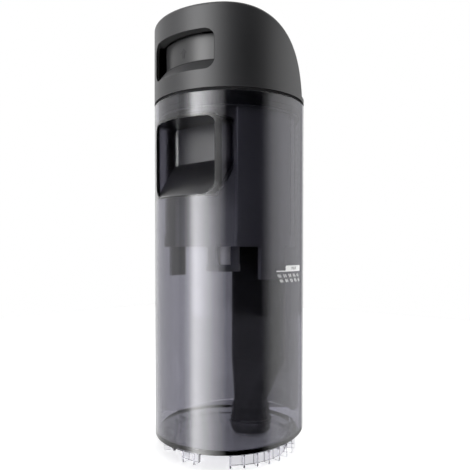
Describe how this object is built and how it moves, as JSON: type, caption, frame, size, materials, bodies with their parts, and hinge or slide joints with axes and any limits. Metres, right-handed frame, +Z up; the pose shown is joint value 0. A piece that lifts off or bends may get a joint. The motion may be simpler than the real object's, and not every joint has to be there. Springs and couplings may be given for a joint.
{
  "type": "vacuum dirty water tank",
  "caption": "Tall round smoked dirty water tank of a cordless floor washer, with a dark domed lid, release button, finger grip, float valve, air filter and ribbed clear foot.",
  "frame": {"origin": "on the tank's axis in the plane of the foot ring", "axes": "+Z up along the tank, -Y to the front with the finger grip and the release button, +X to the side with the level mark"},
  "size_m": [0.1, 0.1, 0.2795],
  "materials": {
    "smoked_plastic": "clear smoked",
    "clear_plastic": "clear",
    "dark_plastic": "matte",
    "button_plastic": "satin",
    "black_plastic": "satin",
    "float_plastic": "satin",
    "black_rubber": "matte",
    "filter_sheet": "pleated fleece",
    "steel": "bright"
  },
  "bodies": {
    "tank": {"tank_body": "smoked_plastic", "tank_base": "clear_plastic", "riser_tube": "black_plastic", "riser_seal": "black_rubber", "inlet_gasket": "black_rubber"},
    "lid": {"lid_cap": "dark_plastic", "lid_base": "black_plastic", "lid_seal": "black_rubber", "separator": "black_plastic", "float_cage": "black_plastic", "lid_screws": "steel", "button_pin": "steel", "button_spring": "steel"},
    "button": {"release_button": "button_plastic"},
    "float": {"float_cup": "float_plastic", "valve_pad": "black_rubber"},
    "filter": {"filter_frame": "black_plastic", "filter_seal": "black_rubber", "filter_media": "filter_sheet", "filter_grid": "black_plastic"}
  },
  "joints": [
    {"name": "lid_lift", "type": "slide", "parent": "tank", "child": "lid", "axis": [0, 0, 1], "range_m": [0, 0.125]},
    {"name": "button_press", "type": "hinge", "parent": "lid", "child": "button", "pos_m": [0, -0.025, 0.2665], "axis": [1, 0, 0], "range_deg": [0, 10], "stiffness_Nm_per_rad": 0.4, "deforming": ["button_spring"]},
    {"name": "float_rise", "type": "slide", "parent": "lid", "child": "float", "axis": [0, 0, 1], "range_m": [0, 0.009]},
    {"name": "filter_pull", "type": "slide", "parent": "lid", "child": "filter", "axis": [0, 0.766, 0.6428], "range_m": [0, 0.03]}
  ]
}
